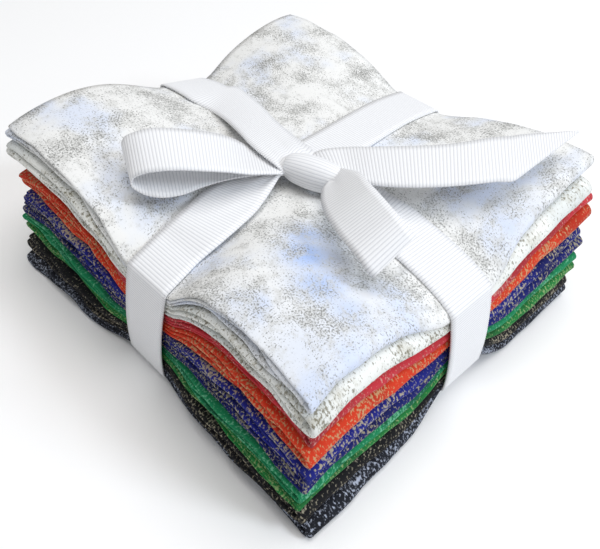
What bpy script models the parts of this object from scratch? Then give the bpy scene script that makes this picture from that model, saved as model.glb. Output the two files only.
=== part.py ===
"""A fat quarter bundle: ten folded fat quarters of printed cotton, tied crosswise with one ribbon.

Metres, +Z up. The long side of the stack lies along X, and the origin is the middle of the whole, on the
surface that it rests on. Each fat quarter is folded in quarters to a packet, and the packet is folded in
thirds. Its section runs back and forth in XZ: the folds show at +X, and the ends of the layers at -Y and +Y.

Places in the stack are given as (a, b, w): a along X and b along Y from the middle of the stack, and w up
through the layers of a loose flat stack. settle() takes them to where the tied stack lies.
"""

import math
from collections import namedtuple

import bmesh
import bpy
from mathutils import Matrix, Vector

MM = 0.001
INCH = 0.0254

# A fat quarter is 18 by 21 inches, folded in thirds one way and in quarters the other way.
CUT_LENGTH = 18 * INCH
CUT_WIDTH = 21 * INCH
HALF_LENGTH = CUT_LENGTH / 3 / 2
HALF_WIDTH = CUT_WIDTH / 4 / 2

LAYER_GAP = 0.35 * MM
PIECE_GAP = 0.6 * MM
INNER_END_SETBACK = 1 * MM
END_PINCH = 0.8

# The ten pieces from the top down, in millimetres. thick is a piece's share of the loose stack. near, left,
# right and back say how far its corners reach past the even stack along X and Y. free is how far its outer
# free end stops short of the folds at -X.
Quarter = namedtuple("Quarter", "name thick near left right back free colour")
QUARTERS = [
    Quarter("quarter_01", 5.5, (-2, 1), (-4, 5), (-6, 3), (-3, 3), 2.0, (0.78, 0.79, 0.80)),
    Quarter("quarter_02", 7.5, (0.5, 0), (-4, 4), (-2, -2), (-2, 0), 2.6, (0.80, 0.77, 0.68)),
    Quarter("quarter_03", 5.0, (0, 0.5), (-2, 5), (-2.5, 2.5), (-1, 2), 1.4, (0.62, 0.14, 0.13)),
    Quarter("quarter_04", 7.5, (1, -1), (-3, 3.5), (-1.5, 3), (-2, 1), 2.4, (0.66, 0.16, 0.07)),
    Quarter("quarter_05", 5.6, (1.5, -2.5), (0, 2.5), (-1, -0.5), (0, -1), 2.2, (0.05, 0.07, 0.34)),
    Quarter("quarter_06", 5.6, (1, -2.5), (-2, 2.5), (0, 2), (-2, 2), 1.3, (0.04, 0.05, 0.22)),
    Quarter("quarter_07", 4.8, (0.5, -4), (-4, 2), (0, -0.5), (-3, 0), 2.7, (0.04, 0.34, 0.20)),
    Quarter("quarter_08", 4.8, (0, -4), (-5, 2), (1, 0), (-4, 1), 1.7, (0.06, 0.30, 0.10)),
    Quarter("quarter_09", 6.6, (1.5, -4.5), (-2, -0.5), (1, -2.5), (-1, -2), 1.7, (0.03, 0.03, 0.03)),
    Quarter("quarter_10", 6.6, (4, -2.5), (-2, -2), (0, 0.5), (-2, 1), 2.7, (0.08, 0.09, 0.11)),
]
LOOSE_HEIGHT = sum(quarter.thick for quarter in QUARTERS) * MM

# The ribbon: its bands lie in flat valleys, and near the knot they are gathered.
RIBBON_WIDTH = 18.5 * MM
RIBBON_THICK = 1.0 * MM
RIBBON_CLEAR = 0.35 * MM
SIDE_CLEAR = 0.4 * MM
VALLEY_HALF = 10 * MM
GATHER = 0.35
GATHER_RUN = 14 * MM
CORNER_ANGLES = (15, 45, 75)
RIBBON_COLOUR = (0.90, 0.91, 0.93)
RIBBON_ROUGHNESS = 0.6
COTTON_ROUGHNESS = 0.85

# The band along X turns round folds. The one along Y turns round the ends of the layers, and it passes over
# the other on top and under it below.
Band = namedtuple("Band", "name half corner over foot")
BAND_X = Band("band_along_x", HALF_LENGTH, 2.2 * MM, 0, 0.15 * MM)
BAND_Y = Band("band_along_y", HALF_WIDTH, 1.0 * MM, 0.6 * MM, 0)

# Heights of the tied stack, in millimetres. Under the bands it falls from the middle to each side, and its
# folds are pressed round. Between them it puffs up to a pillow, which climbs over a run along X and along Y
# and sags at its outer corner.
MIDDLE_HEIGHT = 56
BAND_FALL = {"+X": 2, "-X": 6.5, "+Y": 8, "-Y": 2.5}
RIM_FALL = {"+X": 5.5, "-X": 1.5}
RIM_POWER = 10
Pillow = namedtuple("Pillow", "height run_a run_b sag")
PILLOWS = {
    "near": Pillow(70, 12, 38, 9),
    "left": Pillow(66, 26, 20, 8),
    "right": Pillow(64, 30, 17, 2),
    "back": Pillow(66, 30, 35, 4),
}
SIDE_RISE = 12 * MM

# How far the bands lift the stack's underside, in millimetres: a groove all along, and more at each side.
GROOVE_DEPTH = 1.6
GROOVE_RUN = 18 * MM
EDGE_LIFT = {"+X": 8, "-X": 6, "+Y": 3, "-Y": 1.5}

# Where the middle of each band runs, on top of the stack and at its foot, in millimetres.
Course = namedtuple("Course", "at top foot")
BAND_Y_COURSE = [Course(-67, 8.4, -3.5), Course(-30, 2.5, 1), Course(0, 4.5, 4.5), Course(67, -1.7, -3)]
BAND_X_COURSE = [Course(-77, 8, 8), Course(-30, 5, 5), Course(10, 2, 2), Course(77, -3.5, 2.5)]

# Stations along the layers and across them, in millimetres. The same ones serve every piece, so the pieces
# stay apart. The ribbon has some more near the knot.
STATIONS_A = [-60, -28, -10, 10, 28, 60, 68]
STATIONS_B = [-52, -28, -10, 10, 28, 52]
NEAR_KNOT = [-19, 19]
BIG_FOLD_STEPS = 6
SMALL_FOLD_STEPS = 4

# The knot, in millimetres, and how far it is turned from X.
KNOT_PLACE = (13.5, -9.5, 62.6)
KNOT_HALF = (11.5, 6.5, 6.2)
KNOT_TURN = math.radians(12)

# The free runs of ribbon from the knot: points of the run's middle line and the ribbon's width there, in
# millimetres. Each run has the way across it, which leans it towards one side.
Run = namedtuple("Run", "x y z width")
LOOP_ACROSS = (-0.70, 0.66, 0.27)
LOOP_RUN = [
    Run(6, -12, 63, 9),
    Run(-1.5, -20.5, 66.5, 14),
    Run(-8, -29.5, 69.5, 18.5),
    Run(-15, -38, 71, 18.5),
    Run(-19.5, -44, 70, 18.5),
    Run(-22, -48, 66.8, 18.5),
    Run(-19.5, -45, 63.6, 18.5),
    Run(-13, -36.5, 62.5, 18.5),
    Run(-5.5, -26.5, 61.5, 15),
    Run(6, -12.5, 61, 9),
]
TAIL_ACROSS = (-0.70, 0.66, 0.27)
TAIL_RUN = [
    Run(17, -3, 61.5, 10),
    Run(26, 6.5, 63.5, 16),
    Run(36, 15.3, 66, 18.5),
    Run(48, 26.8, 68.5, 18.5),
    Run(56, 38, 69, 18.5),
    Run(63, 48.5, 68, 18.5),
]
TAIL_SLANT = 12 * MM
FLAP_ACROSS = (0.20, 0.91, 0.35)
FLAP_RUN = [
    Run(18, -8.5, 61.5, 9),
    Run(26, -11.5, 66, 12),
    Run(34.5, -15, 70, 16.5),
    Run(44.5, -19.3, 72.6, 18.5),
    Run(52.5, -21.8, 72.3, 18.5),
    Run(57.8, -21.8, 69.8, 18.5),
    Run(60.5, -20.5, 65.5, 18.5),
]
RUN_STEPS = 3

# What moves the stack so that the middle of the whole, with the ribbon's ends, is at the origin.
STACK_SHIFT = (0.48 * MM, 0.71 * MM, 0)


def side_of(table, a, b):
    """The entries of a table of sides for the side of a and for the side of b."""
    return table["+X" if a > 0 else "-X"], table["+Y" if b > 0 else "-Y"]


def corner_of(a, b):
    """The name of the quarter of the plan that (a, b) is in."""
    if b > 0:
        return "right" if a > 0 else "back"
    return "near" if a > 0 else "left"


def course_at(course, at, share):
    """Where a band's middle runs at a place along it, share of the way up the stack, eased at each row."""
    at = max(course[0].at * MM, min(course[-1].at * MM, at))
    for start, end in zip(course, course[1:]):
        if at <= end.at * MM:
            part = (at / MM - start.at) / (end.at - start.at)
            ease = part * part * (3 - 2 * part)
            top = start.top + (end.top - start.top) * ease
            foot = start.foot + (end.foot - start.foot) * ease
            return (foot + (top - foot) * share) * MM


def rise(distance, run):
    """0 up to a valley's edge, then a soft climb to 1 over about twice the run."""
    return 1 - math.exp(-((max(distance, 0) / run) ** 2))


def corner_blend(quarter, axis, a, b):
    """How far a piece's corners reach along one axis, spread evenly over the stack."""
    along = 0.5 + 0.5 * max(-1, min(1, a / HALF_LENGTH))
    across = 0.5 + 0.5 * max(-1, min(1, b / HALF_WIDTH))
    front = quarter.left[axis] * (1 - along) + quarter.near[axis] * along
    rear = quarter.back[axis] * (1 - along) + quarter.right[axis] * along
    return (front * (1 - across) + rear * across) * MM


def stack_top(a, b):
    """Height of the tied stack's top at (a, b)."""
    far_a = a / HALF_LENGTH
    far_b = b / HALF_WIDTH
    fall_a, fall_b = side_of(BAND_FALL, a, b)
    under_bands = MIDDLE_HEIGHT - fall_a * far_a**2 - fall_b * far_b**2
    under_bands -= RIM_FALL["+X" if a > 0 else "-X"] * abs(far_a) ** RIM_POWER
    pillow = PILLOWS[corner_of(a, b)]
    puffed = pillow.height - pillow.sag * abs(far_a * far_b) ** 5
    climb_a = rise(abs(a) - VALLEY_HALF, pillow.run_a * MM)
    climb_b = rise(abs(b) - VALLEY_HALF, pillow.run_b * MM)
    return (under_bands + (puffed - under_bands) * climb_a * climb_b) * MM


def stack_foot(a, b):
    """Height of the tied stack's underside at (a, b): level, but for the bands' grooves."""
    lift_a, lift_b = side_of(EDGE_LIFT, a, b)
    near_x_band = max(0, 1 - max(abs(b) - VALLEY_HALF, 0) / GROOVE_RUN) ** 2
    near_y_band = max(0, 1 - max(abs(a) - VALLEY_HALF, 0) / GROOVE_RUN) ** 2
    over_x_band = (GROOVE_DEPTH + lift_a * abs(a / HALF_LENGTH) ** 3) * near_x_band
    over_y_band = (GROOVE_DEPTH + lift_b * abs(b / HALF_WIDTH) ** 3) * near_y_band
    return max(over_x_band, over_y_band) * MM


def settle(a, b, w):
    """Place of a point of the loose stack once it is tied."""
    share = w / LOOSE_HEIGHT
    x = a + course_at(BAND_Y_COURSE, b, share) * (1 - (a / HALF_LENGTH) ** 2)
    y = b + course_at(BAND_X_COURSE, a, share) * (1 - (b / HALF_WIDTH) ** 2)
    z = stack_foot(a, b) * (1 - share) + stack_top(a, b) * share
    return Vector((x, y, z))


def reach_out(quarter, a, b):
    """Moves a point of one piece by that piece's own corners. Under the bands the pieces stay flush."""
    out_a = abs(a / HALF_LENGTH) ** 3 * rise(abs(b) - VALLEY_HALF, SIDE_RISE)
    out_b = abs(b / HALF_WIDTH) ** 3 * rise(abs(a) - VALLEY_HALF, SIDE_RISE)
    return a + corner_blend(quarter, 0, a, b) * out_a, b + corner_blend(quarter, 1, a, b) * out_b


def half_turn(centre, radius, start, steps):
    """Middle-line points inside a half turn from the angle start, with their outward directions."""
    points = []
    for step in range(1, steps):
        angle = start + math.pi * step / steps
        out = Vector((math.cos(angle), math.sin(angle)))
        points.append((centre + radius * out, out))
    return points


def folded_path(low, layer, free_end):
    """Middle line of a packet folded in thirds: rows of (place, side), in (a, w).

    It runs from the inner free end to -X, back along the bottom to +X, and over the top to the outer free
    end. side points to the same face of the cloth all along.
    """
    pitch = layer + LAYER_GAP
    bottom = low + layer / 2
    middle = bottom + pitch
    top = middle + pitch
    small_centre = Vector((-HALF_LENGTH + layer / 2 + pitch / 2, bottom + pitch / 2))
    big_centre = Vector((HALF_LENGTH - layer / 2 - pitch, middle))
    stations = [station * MM for station in STATIONS_A]
    up = Vector((0, 1))
    inner_run = [big_centre.x - INNER_END_SETBACK, *reversed(stations), small_centre.x]
    bottom_run = [small_centre.x, *stations, big_centre.x]
    top_run = [big_centre.x, *reversed(stations), free_end]
    path = [(Vector((a, middle)), up) for a in inner_run]
    path += half_turn(small_centre, pitch / 2, math.pi / 2, SMALL_FOLD_STEPS)
    path += [(Vector((a, bottom)), -up) for a in bottom_run]
    path += half_turn(big_centre, pitch, -math.pi / 2, BIG_FOLD_STEPS)
    path += [(Vector((a, top)), up) for a in top_run]
    return path


def outline_of(path, layer):
    """The closed outline of a cloth that is layer thick along its middle line."""
    one_side = [place + out * (layer / 2) for place, out in path]
    other_side = [place - out * (layer / 2) for place, out in path]
    return one_side + other_side[::-1]


def split_quad(bm, quad):
    """Two faces over a quad of (vertex, a, b), parted the same way on every layer so that none cross."""
    verts = [vert for vert, _, _ in quad]
    first = 0
    middle_a = sum(a for _, a, _ in quad) / 4
    middle_b = sum(b for _, _, b in quad) / 4
    if abs(middle_a) > VALLEY_HALF and abs(middle_b) > VALLEY_HALF:
        leaning = [abs(a) - abs(b) for _, a, b in quad]
        first = leaning.index(max(leaning))
    order = verts[first:] + verts[:first]
    bm.faces.new((order[0], order[1], order[2]))
    bm.faces.new((order[0], order[2], order[3]))


def finished_mesh(name, bm):
    """The mesh of a bmesh whose faces are turned to point out."""
    bmesh.ops.recalc_face_normals(bm, faces=bm.faces)
    mesh = bpy.data.meshes.new(name)
    bm.to_mesh(mesh)
    bm.free()
    return mesh


def loft(name, rings, plan=None):
    """A closed solid through rings, each an outline that runs out on one side and back on the other.

    Its ends are closed across the outline, from one side to the other. plan gives each ring point's (a, b).
    """
    bm = bmesh.new()
    rows = [[bm.verts.new(point) for point in ring] for ring in rings]
    count = len(rings[0])
    for j in range(len(rows) - 1):
        for i in range(count):
            n = (i + 1) % count
            corners = [(j, i), (j + 1, i), (j + 1, n), (j, n)]
            if plan:
                split_quad(bm, [(rows[r][c], *plan[r][c]) for r, c in corners])
            else:
                bm.faces.new([rows[r][c] for r, c in corners])
    for row in (rows[0], rows[-1]):
        for i in range(count // 2 - 1):
            bm.faces.new((row[i], row[i + 1], row[count - 2 - i], row[count - 1 - i]))
    return finished_mesh(name, bm)


def fold_quarter(quarter, low):
    """One fat quarter's solid, with its lowest layer at the height low of the loose stack."""
    layer = (quarter.thick * MM - PIECE_GAP - 2 * LAYER_GAP) / 3
    path = folded_path(low, layer, -HALF_LENGTH + quarter.free * MM)
    body = outline_of(path, layer)
    end = outline_of(path, layer * END_PINCH)
    outlines = [(-HALF_WIDTH, end), *((station * MM, body) for station in STATIONS_B), (HALF_WIDTH, end)]
    rings = []
    plan = []
    for b, outline in outlines:
        places = [reach_out(quarter, point.x, b) for point in outline]
        rings.append([settle(pa, pb, point.y) for (pa, pb), point in zip(places, outline)])
        plan.append([(point.x, b) for point in outline])
    return loft(quarter.name, rings, plan)


def band_line(band, stations, top_at, foot_at):
    """A band's inner line round the stack in its upright plane: rows of (along, height, outward angle)."""
    end = band.half + SIDE_CLEAR - band.corner
    heights = {s: top_at(s) + RIBBON_CLEAR + band.over for s in (-end, *stations, end)}
    feet = {s: foot_at(s) + band.foot + RIBBON_THICK - GROOVE_DEPTH * MM for s in heights}
    line = [(s, heights[s], 90) for s in stations]
    line += band_corner(end, heights[end] - band.corner, band.corner, 90)
    line += band_corner(end, feet[end] + band.corner, band.corner, 0)
    line += [(s, feet[s], -90) for s in reversed(stations)]
    line += band_corner(-end, feet[-end] + band.corner, band.corner, -90)
    line += band_corner(-end, heights[-end] - band.corner, band.corner, 180)
    return line


def band_corner(along, height, radius, start):
    """The rows of a band's quarter turn round a corner, from the outward angle start."""
    rows = []
    for turned in CORNER_ANGLES:
        angle = start - turned
        turn = math.radians(angle)
        rows.append((along + radius * math.cos(turn), height + radius * math.sin(turn), angle))
    return rows


def band_mesh(band, stations, axis, course, top_at, foot_at):
    """The closed band of ribbon round the stack along one axis, 0 for X and 1 for Y."""
    knot_along = KNOT_PLACE[axis] * MM
    rings = []
    for along, height, angle in band_line(band, stations, top_at, foot_at):
        share = max(0, min(1, height / top_at(max(-band.half, min(band.half, along)))))
        middle = Vector((0, 0, height))
        middle[axis] = along
        middle[1 - axis] = course_at(course, along, share)
        lifted = Vector((0, 0, math.sin(math.radians(angle)))) * RIBBON_THICK
        lifted[axis] = math.cos(math.radians(angle)) * RIBBON_THICK
        gathered = GATHER * math.exp(-(((along - knot_along) / GATHER_RUN) ** 2)) if angle == 90 else 0
        across = Vector((0, 0, 0))
        across[1 - axis] = RIBBON_WIDTH / 2 * (1 - gathered)
        inner = (middle - across, middle + across)
        rings.append([inner[0], inner[1], inner[1] + lifted, inner[0] + lifted])
    return closed_loft(band.name, rings)


def closed_loft(name, rings):
    """A ring-shaped solid through rings of equal length, joined back to its start."""
    bm = bmesh.new()
    rows = [[bm.verts.new(point) for point in ring] for ring in rings]
    count = len(rings[0])
    for j, row in enumerate(rows):
        following = rows[(j + 1) % len(rows)]
        for i in range(count):
            n = (i + 1) % count
            bm.faces.new((row[i], following[i], following[n], row[n]))
    return finished_mesh(name, bm)


def make_bands():
    """The ribbon's two bands round the stack."""
    stations_a = sorted(station * MM for station in STATIONS_A + NEAR_KNOT)
    stations_b = sorted(station * MM for station in STATIONS_B + NEAR_KNOT)
    along_x = band_mesh(
        BAND_X, stations_a, 0, BAND_X_COURSE, lambda a: stack_top(a, 0), lambda a: stack_foot(a, 0)
    )
    along_y = band_mesh(
        BAND_Y, stations_b, 1, BAND_Y_COURSE, lambda b: stack_top(0, b), lambda b: stack_foot(0, b)
    )
    return [along_x, along_y]


def smooth_run(rows):
    """Points of a smooth curve through the rows, with the width at each, in metres."""
    points = [Vector((row.x, row.y, row.z)) * MM for row in rows]
    widths = [row.width * MM for row in rows]
    padded = [2 * points[0] - points[1], *points, 2 * points[-1] - points[-2]]
    run = []
    for i in range(len(points) - 1):
        p0, p1, p2, p3 = padded[i : i + 4]
        for step in range(RUN_STEPS):
            t = step / RUN_STEPS
            bend = (2 * p0 - 5 * p1 + 4 * p2 - p3) * t**2
            pull = (p2 - p0) * t + bend + (3 * p1 - p0 - 3 * p2 + p3) * t**3
            run.append((p1 + 0.5 * pull, widths[i] * (1 - t) + widths[i + 1] * t))
    run.append((points[-1], widths[-1]))
    return run


def strip_mesh(name, rows, across, slant=0):
    """A free run of ribbon that lies flat along the direction across.

    slant is how far its far edge passes its middle line at the end, and how far its near edge stops short.
    The rings lean to that cut over the last three times its length.
    """
    run = smooth_run(rows)
    left_over = [0]
    for (place, _), (after, _) in zip(run[:0:-1], run[-2::-1]):
        left_over.insert(0, left_over[0] + (place - after).length)
    rings = []
    for i, (place, width) in enumerate(run):
        before = run[max(i - 1, 0)][0]
        after = run[min(i + 1, len(run) - 1)][0]
        forward = (after - before).normalized()
        level = Vector(across)
        side = (level - forward * level.dot(forward)).normalized()
        out = side.cross(forward) * (RIBBON_THICK / 2)
        lean = max(0, 1 - left_over[i] / (3 * slant)) if slant else 0
        cut = forward * (slant * lean)
        near_edge = place - side * (width / 2) - cut
        far_edge = place + side * (width / 2) + cut
        rings.append([near_edge - out, far_edge - out, far_edge + out, near_edge + out])
    return loft(name, rings)


def knot_mesh():
    """The pulled knot: a rounded lump, longer along its wrap."""
    bm = bmesh.new()
    shape = Matrix.Diagonal((*KNOT_HALF, 1 / MM)) * MM
    place = Matrix.Translation(Vector(KNOT_PLACE) * MM) @ Matrix.Rotation(KNOT_TURN, 4, "Z")
    bmesh.ops.create_uvsphere(bm, u_segments=16, v_segments=8, radius=1, matrix=place @ shape)
    return finished_mesh("knot", bm)


def make_material(name, colour, roughness):
    material = bpy.data.materials.new(name)
    material.use_nodes = True
    shader = material.node_tree.nodes["Principled BSDF"]
    shader.inputs["Base Color"].default_value = (*colour, 1)
    shader.inputs["Roughness"].default_value = roughness
    shader.inputs["Metallic"].default_value = 0
    return material


def place(collection, mesh, parent, material=None):
    """Puts a mesh in the scene as an object of the same name."""
    obj = bpy.data.objects.new(mesh.name, mesh)
    collection.objects.link(obj)
    obj.parent = parent
    if material:
        mesh.materials.append(material)
    return obj


def make_quarters(collection, parent):
    """The ten folded fat quarters, from the top down."""
    low = LOOSE_HEIGHT
    for quarter in QUARTERS:
        low -= quarter.thick * MM
        cotton = make_material(quarter.name + "_cotton", quarter.colour, COTTON_ROUGHNESS)
        place(collection, fold_quarter(quarter, low), parent, cotton)


def make_ribbon(collection, helpers, parent):
    """The ribbon: one piece, so its bands, knot, loop and ends are joined to the band along X."""
    band_x, band_y = make_bands()
    grosgrain = make_material("ribbon_grosgrain", RIBBON_COLOUR, RIBBON_ROUGHNESS)
    ribbon = place(collection, band_x, parent, grosgrain)
    ribbon.name = "ribbon"
    loop = strip_mesh("loop", LOOP_RUN, LOOP_ACROSS)
    tail = strip_mesh("tail", TAIL_RUN, TAIL_ACROSS, TAIL_SLANT)
    flap = strip_mesh("flap", FLAP_RUN, FLAP_ACROSS)
    for mesh in (band_y, knot_mesh(), loop, tail, flap):
        helper = place(helpers, mesh, parent)
        helper.hide_render = True
        helper.display_type = "WIRE"
        union = ribbon.modifiers.new(helper.name, "BOOLEAN")
        union.operation = "UNION"
        union.object = helper


def main():
    for obj in list(bpy.data.objects):
        bpy.data.objects.remove(obj)
    bundle = bpy.data.collections.new("fat_quarter_bundle")
    helpers = bpy.data.collections.new("ribbon_runs")
    bpy.context.scene.collection.children.link(bundle)
    bpy.context.scene.collection.children.link(helpers)
    stack = bpy.data.objects.new("stack", None)
    bundle.objects.link(stack)
    stack.location = STACK_SHIFT
    make_quarters(bundle, stack)
    make_ribbon(bundle, helpers, stack)


main()
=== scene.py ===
"""Looks of the fat quarter bundle: ten folded printed cottons, tied crosswise with a white ribbon.

Each fat quarter is one thin sheet, folded in quarters along Y and then in thirds along X, and laid where its
solid lies. The ribbon's runs are thin ribbed sheets. Metres, +Z up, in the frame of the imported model.
"""

import math
from collections import namedtuple

import bpy
import numpy as np
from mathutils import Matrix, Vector


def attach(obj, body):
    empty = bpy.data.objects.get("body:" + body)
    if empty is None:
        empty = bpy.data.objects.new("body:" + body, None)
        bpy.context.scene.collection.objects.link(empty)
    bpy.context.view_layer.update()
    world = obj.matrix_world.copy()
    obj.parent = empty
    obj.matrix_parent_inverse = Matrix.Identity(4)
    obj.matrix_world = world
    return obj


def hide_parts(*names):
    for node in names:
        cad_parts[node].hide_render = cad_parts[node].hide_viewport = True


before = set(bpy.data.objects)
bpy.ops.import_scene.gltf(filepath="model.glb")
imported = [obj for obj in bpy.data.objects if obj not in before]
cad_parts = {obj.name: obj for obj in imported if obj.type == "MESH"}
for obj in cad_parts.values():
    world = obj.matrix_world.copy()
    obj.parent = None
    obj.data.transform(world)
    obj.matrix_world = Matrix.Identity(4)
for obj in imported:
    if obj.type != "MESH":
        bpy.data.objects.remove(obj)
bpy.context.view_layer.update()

MM = 0.001
INCH = 0.0254

# The cut, the fold and the stack, as in the part's source.
CUT_LENGTH = 18 * INCH
CUT_WIDTH = 21 * INCH
HALF_LENGTH = CUT_LENGTH / 3 / 2
HALF_WIDTH = CUT_WIDTH / 4 / 2
LAYER_GAP = 0.35 * MM
PIECE_GAP = 0.6 * MM
INNER_END_SETBACK = 1 * MM
STACK_SHIFT = np.array((0.48, 0.71, 0)) * MM

# How the plies end: by what share and how steeply their ends are drawn together, and how far the cloth's two
# edges stay inside the fold.
END_PINCH = 0.25
END_PINCH_POWER = 24
PLY_SETBACKS = (0.6 * MM, 1.4 * MM)

# The ten pieces from the top down, in millimetres: how thick each lies when loose, how far its corners lie
# off the fold's own corners along X and Y, how far its free end stays inside the fold, and its sheet's
# thickness.
Quarter = namedtuple("Quarter", "name slot thick near left right back free cloth")
QUARTERS = [
    Quarter("quarter_01", "cotton_grey", 5.5, (-2, 1), (-6, 3.4), (-6, 3), (-3, 3), 2.0, 0.24),
    Quarter("quarter_02", "cotton_cream", 7.5, (0.5, 0), (-6.6, 1.5), (-2, -2), (-2, 0), 2.6, 0.3),
    Quarter("quarter_03", "cotton_dusty_red", 5.0, (0, 0.5), (-3, 4), (-2.5, 2.5), (-1, 2), 1.4, 0.22),
    Quarter("quarter_04", "cotton_orange_red", 7.5, (1, -1), (-3.8, 2.8), (-1.5, 3), (-2, 1), 2.4, 0.3),
    Quarter("quarter_05", "cotton_royal_blue", 5.6, (1.5, -2.5), (-1.5, 1), (-1, -0.5), (0, -1), 2.2, 0.24),
    Quarter("quarter_06", "cotton_navy", 5.6, (1, -2.5), (-3.6, 1), (0, 2), (-2, 2), 1.3, 0.24),
    Quarter("quarter_07", "cotton_teal", 4.8, (0.5, -4), (-6, 0.2), (0, -0.5), (-3, 0), 2.7, 0.21),
    Quarter("quarter_08", "cotton_green", 4.8, (0, -4), (-6.6, 0.4), (1, 0), (-4, 1), 1.7, 0.21),
    Quarter("quarter_09", "cotton_black", 6.6, (1.5, -4.5), (-3.6, -2), (1, -2.5), (-1, -2), 1.7, 0.28),
    Quarter("quarter_10", "cotton_charcoal", 6.6, (4, -2.5), (-3.4, -3.4), (0, 0.5), (-2, 1), 2.7, 0.28),
]
LOOSE_HEIGHT = sum(quarter.thick for quarter in QUARTERS) * MM

# How finely the cloth is laid out: steps along it, and round its turns in thirds and in quarters.
TOP_CLOTH_STEP = 2.6 * MM
CLOTH_STEP = 4.6 * MM
SMALL_TURN_STEPS = 8
BIG_TURN_STEPS = 14
OUTER_PLY_STEPS = 8
INNER_PLY_STEPS = 6
TINY = 1e-12

# How unevenly the layers end at each side: the first seed, the longest wave and how far it reaches.
Uneven = namedtuple("Uneven", "seed longest reach")
NEAR_WAVES = Uneven(100, 70 * MM, 0.9 * MM)
FAR_WAVES = Uneven(200, 60 * MM, 0.8 * MM)
FOLD_WAVES = Uneven(300, 55 * MM, 0.5 * MM)
WAVE_COUNT = 5
WAVE_SHORTENING = 0.8
WAVE_FADING = 0.5
WAVE_SUM = 2.2
END_POWER = 4
REACH_POWER = 3

# The ribbon. Its ribs run across it.
RIBBON_WIDTH = 18.5 * MM
RIBBON_THICK = 0.4 * MM
RIB_PITCH = 1.08 * MM
RIB_HEIGHT = 0.13 * MM
RIB_STEPS = 6
RIB_ROUNDING = 0.5
RIBBON_COLUMNS = 9
CURVE_STEPS = 60
BAND_STEP = 3 * MM
BAND_MIN_POINTS = 3
SIDE_CLEAR = 0.4 * MM
VALLEY_HALF = 10 * MM
Band = namedtuple("Band", "half corner over foot")
BAND_X = Band(HALF_LENGTH, 2.6 * MM, 0, -0.4 * MM)
BAND_Y = Band(HALF_WIDTH, 1.6 * MM, 0.6 * MM, -0.5 * MM)
BAND_X_ENDS = (-56 * MM, 44 * MM)
BAND_Y_ENDS = (-54 * MM, -3 * MM)
BAND_CLEAR = 0.3 * MM
CROSSING_RUN = 20 * MM
FOOT_STEPS = 40
CORNER_STEPS = 7

# Heights of the tied stack, in millimetres. The part's source has the same ones, but for a plainer form of
# the pillows between the bands and of the rim at -Y.
MIDDLE_HEIGHT = 56
BAND_FALL = {"+X": 2, "-X": 6.5, "+Y": 8, "-Y": 2.5}
RIM_FALL = {"+X": 5.5, "-X": 1.5, "+Y": 0, "-Y": 2.5}
RIM_POWER = 10
Pillow = namedtuple("Pillow", "height run_a run_b sag")
PILLOWS = {
    "near": Pillow(70, 12, 38, 12),
    "left": Pillow(66, 26, 20, 8),
    "right": Pillow(65, 31, 30, 2),
    "back": Pillow(66, 30, 35, 4),
}
CLIMB_POWER = 1.3
SAG_POWER = 3.5
SIDE_RISE = 12 * MM

# How far the ribbon's pull tilts the valley at -X: down on its +Y side and up on the other.
LEFT_TILT = 2.5

GROOVE_DEPTH = 1.6
GROOVE_RUN = 18 * MM
EDGE_LIFT = {"+X": 8, "-X": 6, "+Y": 3, "-Y": 1.5}

Course = namedtuple("Course", "at top foot")
BAND_Y_COURSE = [Course(-67, 8.4, -3.5), Course(-30, 2.5, 1), Course(0, 4.5, 4.5), Course(67, -1.7, -3)]
BAND_X_COURSE = [Course(-77, 8, 8), Course(-30, 5, 5), Course(10, 2, 2), Course(77, -3.5, 2.5)]

# The ribbon's runs on top, in millimetres from the middle of the stack: rows of both edges of the ribbon,
# from the knot outwards. The arms' rows end where the bands take over.
Edge = namedtuple("Edge", "ax ay az bx by bz")
LEFT_ARM = [
    Edge(9.4, -13.4, 61.0, 10.5, 1.4, 61.0),
    Edge(6.2, -14.6, 63.5, 1.3, 2.2, 61.0),
    Edge(-0.9, -14.3, 63.8, -7.4, 4.4, 59.5),
    Edge(-11.2, -11.9, 62.5, -19.4, 7.9, 57.5),
    Edge(-22.9, -7.5, 59.5, -31.4, 12.3, 55.5),
    Edge(-35.7, -3.3, 56.0, -42.1, 15.2, 54.0),
    Edge(-47.3, -1.6, 53.5, -51.8, 17.0, 52.6),
]
FRONT_ARM = [
    Edge(7.8, -14.8, 61.5, 8.9, -13.8, 62.0),
    Edge(1.2, -19.5, 59.5, 8.7, -15.7, 60.5),
    Edge(-3.6, -25.5, 58.0, 10.0, -20.3, 58.7),
    Edge(-5.5, -32.9, 57.3, 12.9, -28.6, 57.5),
    Edge(-4.2, -40.3, 56.9, 14.6, -36.5, 57.1),
    Edge(-2.7, -47.6, 56.3, 15.9, -45.2, 56.5),
]
RIGHT_ARM = [
    Edge(21.6, -5.7, 60.0, 19.0, 3.0, 61.0),
    Edge(28.1, -7.5, 57.5, 25.1, 6.6, 57.8),
    Edge(37.3, -10.0, 56.4, 33.8, 7.5, 56.6),
]
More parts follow.
